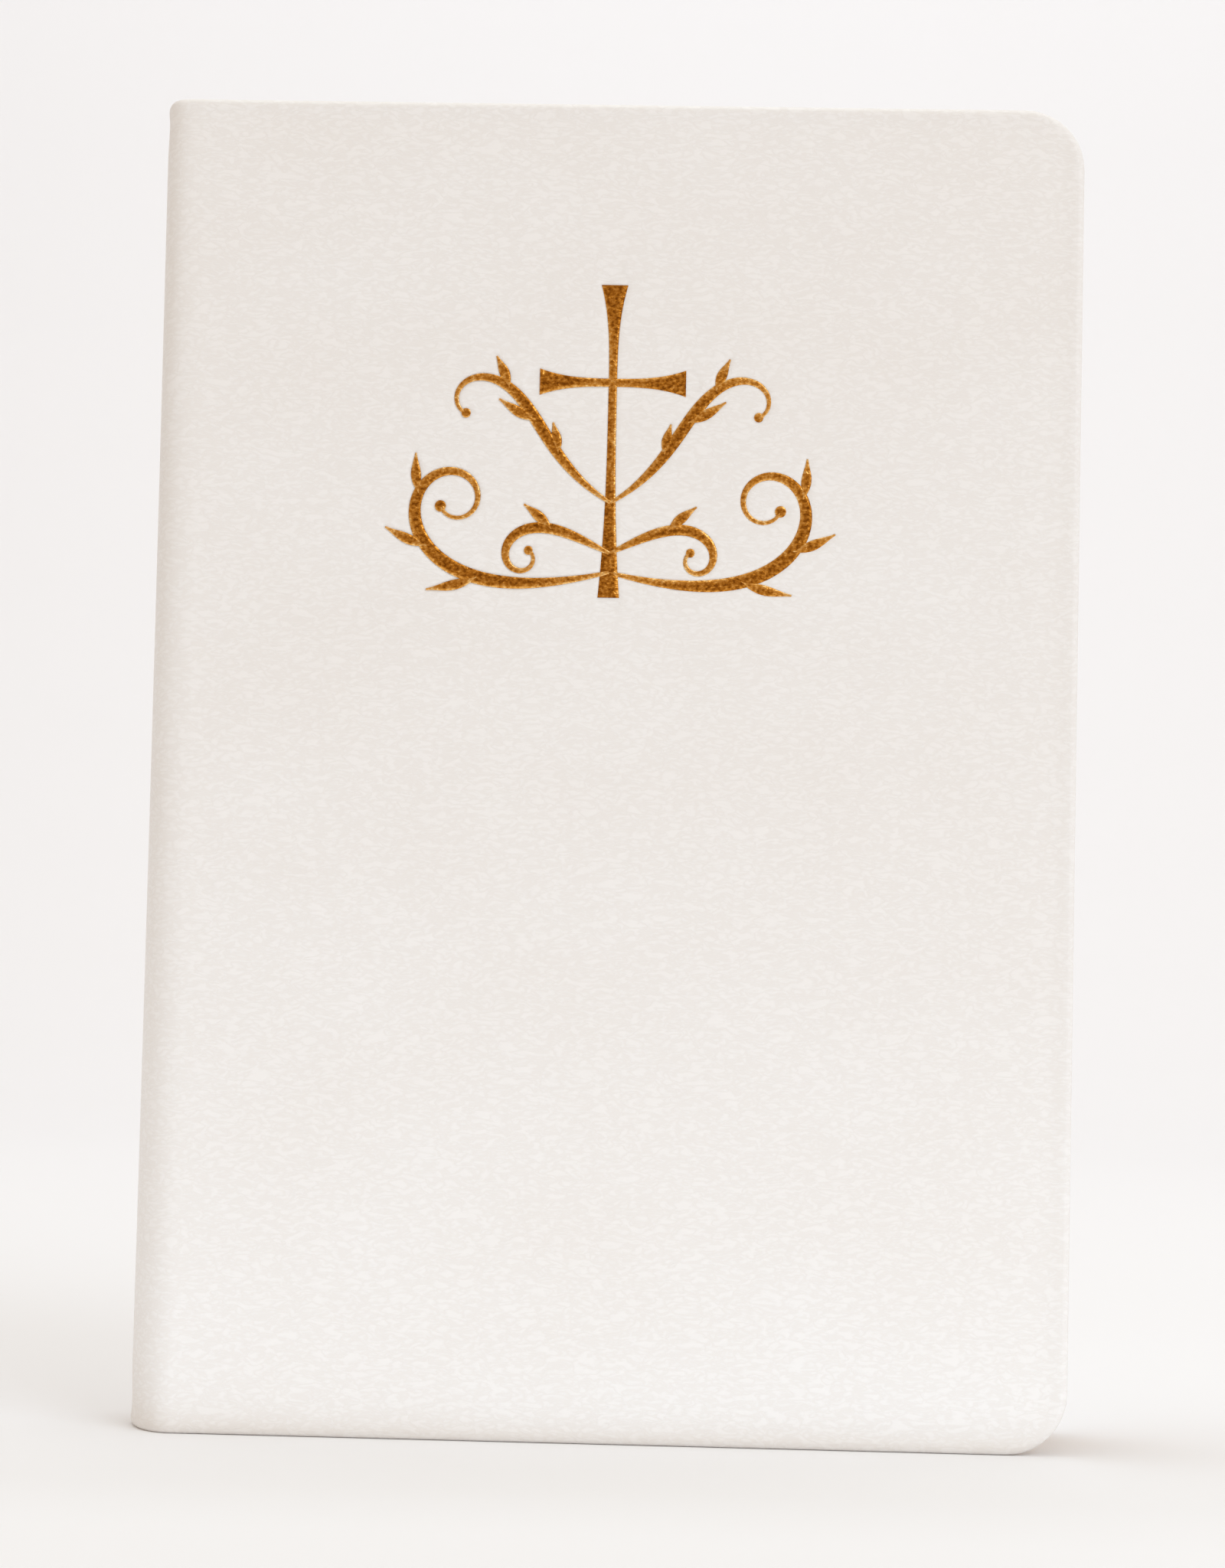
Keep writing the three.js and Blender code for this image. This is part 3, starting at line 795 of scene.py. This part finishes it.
def block_shift(y):
    """How far the leaves at depth y are shifted by the rounding of the spine."""
    radius = (BLOCK_HALF**2 + BLOCK_RISE**2) / (2 * BLOCK_RISE)
    return radius - BLOCK_RISE - np.sqrt(radius**2 - np.minimum(np.abs(y), BLOCK_HALF) ** 2)


def corner_columns(start, radius):
    """x of columns round the fore corners of a sheet."""
    return start + radius * np.sin(np.radians(CORNER_TURNS))


def leaf_columns(bends):
    """x of the columns of a stack of leaves, closest where they bend and at the corners."""
    body = [JOINT_X, JOINT_X + 0.5 * MM, TURN_X]
    if bends:
        body += list(np.linspace(TURN_X, TURN_X + BEND, 15)[1:])
    body += list(np.linspace(body[-1], PAGES_FLAT_END, 4)[1:])
    return np.array(body + list(corner_columns(PAGES_FLAT_END, PAGE_CORNER_R)))


def leaf_layers(columns, levels):
    """The tails and heads of the leaves at both faces of each bundle. The bundles stand
    a little in or out of line, and the outermost ones of a section a little more."""
    drop = round_corner(columns, PAGES_RIGHT, PAGE_CORNER_R)
    fore = smoothstep(columns, TURN_X, PAGES_FLAT_END)
    bundles = len(levels) - 1
    points = []
    for k in range(bundles):
        uneven = rng.uniform(0, OUT_OF_LINE)
        if bundles > 2 and k in (0, bundles - 1):
            uneven += OUTER_OUT_OF_LINE
        for y in (levels[k], levels[k + 1]):
            x = columns + float(block_shift(y)) - uneven * fore
            points += [(a, y, b) for a, b in zip(x, PAGES_BOTTOM + drop + uneven)]
            points += [(a, y, b) for a, b in zip(x, PAGES_TOP - drop - uneven)]
    return points


def leaf_stack(name, low_y, high_y, bends):
    """A stack of leaves from its fold to the fore-edge, in bundles, with gilt edges."""
    columns = leaf_columns(bends)
    bundles = max(1, round((high_y - low_y) / BUNDLE_T))
    points = leaf_layers(columns, np.linspace(low_y, high_y, bundles + 1))
    n = len(columns)
    layers = range(0, len(points), 2 * n)
    paper, gilt = 0, 1
    faces, groups = [], []
    for lower, upper in zip(layers[:-1], layers[1:]):
        for i in range(n - 1):
            faces.append((lower + i, lower + i + 1, upper + i + 1, upper + i))
            faces.append((lower + n + i + 1, lower + n + i, upper + n + i, upper + n + i + 1))
            groups += [gilt, gilt]
        faces.append((lower + n - 1, lower + 2 * n - 1, upper + 2 * n - 1, upper + n - 1))
        faces.append((lower + n, lower, upper, upper + n))
        groups += [gilt, paper]
    for base, turned in ((layers[0], False), (layers[-1], True)):
        for i in range(n - 1):
            quad = (base + i, base + n + i, base + n + i + 1, base + i + 1)
            faces.append(quad[::-1] if turned else quad)
            groups.append(paper)
    stack = new_piece(name, points, faces, [PAPER, GILT], smooth=False, groups=groups)
    return stack


def bend_in_gutter(piece):
    """Bakes a piece's transform into its mesh; the leaves are left unbent in the gutter."""
    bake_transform(piece)


def make_sections():
    """Ten sections that stay together on the text block, and four on each side that turn in the
    book; these are built at rest and fixed to no body.
    """
    for number in range(1, 11):
        node = f"core_section_{number}"
        low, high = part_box(node)
        stack = leaf_stack(f"core_leaves_{number}", low.y, high.y, False)
        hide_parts(node)
        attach(stack, "text_block")
    for name in SIDES:
        for number in range(1, 5):
            leaves = f"{name}_section_{number}_leaves"
            low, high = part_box(leaves)
            stack = leaf_stack(f"{name}_section_{number}", low.y, high.y, True)
            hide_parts(leaves, f"{name}_section_{number}_fold")
            bend_in_gutter(stack)


def thin_sheet(name, outer, inner, turned, material):
    """A sheet closed round its edges, from the grids of points of its two faces."""
    index = np.arange(outer.shape[0] * outer.shape[1]).reshape(outer.shape[:2])
    quads = grid_quads(index)
    loop = np.concatenate([index[:-1, 0], index[-1, :-1], index[:0:-1, -1], index[0, :0:-1]])
    after = np.roll(loop, -1)
    edges = np.stack([loop, loop + index.size, after + index.size, after], 1)
    faces = np.concatenate([quads, quads[:, ::-1] + index.size, edges])
    if turned:
        faces = faces[:, ::-1]
    points = np.concatenate([outer.reshape(-1, 3), inner.reshape(-1, 3)])
    return new_piece(name, points, faces, [material])


CARD_DEPTHS = (0.9 * MM, 1.5 * MM)  # of the spine card's faces, under the leather's
CARD_FROM_JOINT = 1.5 * MM
CARD_FROM_END = 0.5 * MM


def make_spine_card():
    """The strip of card that stiffens the spine, under the leather."""
    low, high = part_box("spine_inlay")
    reach = SPINE_ARC - CARD_FROM_JOINT
    around = np.linspace(-reach, reach, 61)[:, None]
    up = np.linspace(low.z + CARD_FROM_END, high.z - CARD_FROM_END, 30)[None, :]
    grids = []
    for depth in CARD_DEPTHS:
        x, y = on_case(np.abs(around), depth, np.sign(around), up)
        grids.append(np.stack([x, y, np.broadcast_to(up, x.shape)], 2))
    card = thin_sheet("spine_card", *grids, turned=False, material=CARD)
    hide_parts("spine_inlay")
    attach(card, "text_block")


def sheet_of_paper(name, columns, depths, thickness, side, margin, radius):
    """An upright sheet with round fore corners. depths gives the depth of its outer
    face at places x, z."""
    drop = round_corner(columns, columns[-1], radius)
    rows = np.concatenate([[0], np.linspace(0.02, 0.98, 25), [1]])
    bottom, top = margin + drop, HEIGHT - margin - drop
    z = bottom[:, None] + (top - bottom)[:, None] * rows[None, :]
    x = np.broadcast_to(columns[:, None], z.shape)
    outer, inner = (
        np.stack([x, side * (HALF - depths(x, z) - t), z], 2) for t in (0, thickness)
    )
    paper = thin_sheet(name, outer, inner, side > 0, ENDPAPER)
    return paper


PASTE_T = 0.14 * MM
PASTE_MARGIN = 5 * MM  # from the cover's edges
PASTE_CORNER_R = CORNER_R - PASTE_MARGIN
PASTE_FROM = JOINT_X - 2.4 * MM
JOINT_END = JOINT_X + 1.5 * MM
BOARD_FROM = JOINT_X + 2 * MM
FLAT_FROM = JOINT_X + 8 * MM
TURN_IN_STEP = 0.3 * MM
JOINT_DIP = 0.3  # of the way from the joint towards the spine


def make_paste_paper(name, side):
    """The paper pasted inside a cover, from the shoulder of the text block."""
    low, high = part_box(f"{name}_pastedown")
    face = HALF - min(abs(low.y), abs(high.y)) - PASTE_T
    corner_from = high.x - PASTE_CORNER_R
    columns = np.concatenate([
        np.linspace(PASTE_FROM, JOINT_END, 16)[:-1],
        np.linspace(JOINT_END, FLAT_FROM, 10)[:-1],
        np.linspace(FLAT_FROM, corner_from - 12 * MM, 12),
        np.linspace(corner_from - 12 * MM, corner_from, 12)[1:],
        corner_columns(corner_from, PASTE_CORNER_R),
    ])

    def sunk(x, z):
        """The turn-in shows as a step under the paper, 15 mm in from the edge, and the
        paper dips to the shoulder of the block in the joint."""
        edge = np.minimum.reduce([FORE_X - x, HEIGHT - z, z])
        step = TURN_IN_STEP * smoothstep(edge, 14.2 * MM, 15.6 * MM)
        dip = JOINT_DIP * (JOINT_X - x).clip(0)
        return face + dip - step * smoothstep(x, BOARD_FROM, FLAT_FROM)

    paste = sheet_of_paper(
        f"{name}_paste_paper", columns, sunk, PASTE_T, side, PASTE_MARGIN, PASTE_CORNER_R
    )
    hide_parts(f"{name}_pastedown")
    bend_at_joint(paste)


def make_fly_sheet(name, side):
    """The free leaf between a cover and the text block."""
    low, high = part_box(f"{name}_flyleaf")
    depth = HALF - max(abs(low.y), abs(high.y))
    columns = np.concatenate([
        [JOINT_X + 0.3 * MM, TURN_X],
        np.linspace(TURN_X, TURN_X + BEND, 15)[1:],
        np.linspace(TURN_X + BEND, PAGES_FLAT_END, 6)[1:],
        corner_columns(PAGES_FLAT_END, PAGE_CORNER_R),
    ])
    fly = sheet_of_paper(
        f"{name}_fly_sheet", columns, lambda x, z: np.full(x.shape, depth),
        high.y - low.y, side, PAGES_BOTTOM, PAGE_CORNER_R,
    )
    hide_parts(f"{name}_flyleaf", f"{name}_endpaper_strip")
    bend_in_gutter(fly)


def make_endpapers():
    """A pasted paper and a free leaf at each cover."""
    for name, side in SIDES.items():
        make_paste_paper(name, side)
        make_fly_sheet(name, side)


# --------------------------------------------------- headbands and linings


SILK_TURN = 0.62 * MM  # from one turn of silk to the next
RIB = 0.07  # of the band's radius
CORD_POINTS = 20


def make_headbands():
    """A cord whipped with silk: each turn of thread stands out as a slanting rib."""
    turns = 2 * math.pi * np.arange(CORD_POINTS) / CORD_POINTS
    for name in ("headband", "tailband"):
        low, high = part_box(name)
        radius = (high.z - low.z) / 2
        reach = (high.y - low.y) / 2 - radius * 0.25
        along = np.linspace(-reach, reach, 230)[:, None]
        rib = 1 + RIB * np.cos(2 * math.pi * along / SILK_TURN - turns)
        end = np.sqrt((1 - (np.abs(along) / reach) ** 14).clip(0))
        r = radius * (1 - RIB) * rib * end
        x = 2 * radius + JOINT_X + block_shift(along) + r * np.cos(turns)
        z = (low.z + high.z) / 2 + r * np.sin(turns)
        points = np.stack([x, np.broadcast_to(along, x.shape), z], 2).reshape(-1, 3)
        index = np.arange(x.size).reshape(x.shape)
        faces = grid_quads(np.concatenate([index, index[:, :1]], 1))
        band = new_piece(f"{name}_silk", points, faces, [SILK])
        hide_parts(name)
        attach(band, "text_block")


def dress_hidden_nodes():
    """The pieces inside keep their CAD shape and get their real finish."""
    finishes = {"mull": MULL, "kraft_lining": KRAFT}
    finishes |= {f"{name}_board": CARD for name in SIDES}
    finishes |= {f"sewing_thread_{number}": THREAD for number in range(1, 6)}
    for node, material in finishes.items():
        slots = frame["nodes"][node].data.materials
        slots.clear()
        slots.append(material)


# ------------------------------------------------------- stage and lights


CAMERA_AT = (0.0194, -0.5522, 0.0707)
CAMERA_YAW = -1.929
CAMERA_PITCH = -3.366
CAMERA_ROLL = 1.262
LENS_MM = 79.1015625
SENSOR_MM = 36  # the height of the picture


def make_camera():
    """A camera about 0.55 m in front of the book, at a third of its height."""
    data = bpy.data.cameras.new("camera")
    data.sensor_width = SENSOR_MM
    data.lens = LENS_MM
    data.clip_start, data.clip_end = 0.02, 20
    camera = bpy.data.objects.new("camera", data)
    bpy.context.scene.collection.objects.link(camera)
    turn = (
        Matrix.Rotation(math.radians(CAMERA_ROLL), 3, "Y")
        @ Matrix.Rotation(math.radians(CAMERA_PITCH), 3, "X")
        @ Matrix.Rotation(math.radians(CAMERA_YAW), 3, "Z")
    )
    right, ahead, up = turn
    axes = Matrix((right, up, -ahead)).transposed()
    camera.matrix_world = Matrix.Translation(CAMERA_AT) @ axes.to_4x4()
    bpy.context.scene.camera = camera
    bpy.context.scene.view_settings.view_transform = "Standard"


SWEEP_FRONT, SWEEP_BACK, SWEEP_WIDE, SWEEP_TALL = -6.0, 1.6, 5.0, 2.6
SWEEP_R = 0.6


def make_sweep():
    """A white sweep: a floor that curves up into a wall behind the book."""
    foot = SWEEP_BACK - SWEEP_R
    profile = [(SWEEP_FRONT, 0.0), (foot, 0.0)]
    for angle in np.radians(np.arange(10, 91, 10)):
        profile.append((foot + SWEEP_R * math.sin(angle), SWEEP_R * (1 - math.cos(angle))))
    profile.append((SWEEP_BACK, SWEEP_TALL))
    points = [(x, y, z) for y, z in profile for x in (-SWEEP_WIDE, SWEEP_WIDE)]
    faces = [(2 * i, 2 * i + 1, 2 * i + 3, 2 * i + 2) for i in range(len(profile) - 1)]
    new_piece("sweep", points, faces, [white_sweep()])


def area_light(name, place, aim, size, power, colour):
    """A soft box or card that lights what it faces, and that the camera can't see."""
    data = bpy.data.lights.new(name, "AREA")
    data.shape = "RECTANGLE"
    data.size, data.size_y = size
    data.energy = power
    data.color = linear(colour)[:3]
    light = bpy.data.objects.new(name, data)
    light.visible_camera = False
    light.location = place
    light.rotation_mode = "QUATERNION"
    light.rotation_quaternion = (Vector(aim) - Vector(place)).to_track_quat("-Z", "Y")
    bpy.context.scene.collection.objects.link(light)


def make_world():
    """A room with pale, warm walls that lights everything evenly."""
    world = bpy.data.worlds.new("white_room")
    world.use_nodes = True
    background = world.node_tree.nodes["Background"]
    background.inputs["Color"].default_value = linear("#cabdb0")
    bpy.context.scene.world = world


def make_lights():
    """A key on the right, a soft light above, a card on the floor that lifts the tail
    of the cover, and a light for the wall behind."""
    area_light("key", (1.1, -1.3, 1.2), (0, 0, 0.1), (1.2, 1.2), 11.7, "#e3f1ff")
    area_light("top", (0.1, -0.1, 1.6), (0, 0, 0), (1.4, 1.4), 6.2, "#effdff")
    area_light(
        "front_card", (-0.03, -0.068, 0.0015), (-0.03, -0.06, 1), (0.5, 0.1), 0.063, "#d9edff"
    )
    area_light("backdrop", (0, 0.5, 1.7), (0, 1.6, 0.6), (2.0, 0.6), 8.9, "#e6f1ff")


LEATHER = white_leather()
FOIL = gold_foil()
GILT = gilt_edges()
PAPER = thin_paper("bible_paper", "#efe9dc", "#f7f2e8")
ENDPAPER = thin_paper("endpaper", "#f1ece1", "#f9f6ee")
KRAFT = thin_paper("kraft_paper", "#a98455", "#bf9a68", own=False)
CARD = grey_card()
MULL = starched_mull()
SILK = spun_thread("spun_silk", own=True)
THREAD = spun_thread("sewing_thread", own=False)

make_camera()
make_case()
make_spine_card()
make_foil()
make_sections()
make_endpapers()
make_headbands()
dress_hidden_nodes()
make_sweep()
make_world()
make_lights()
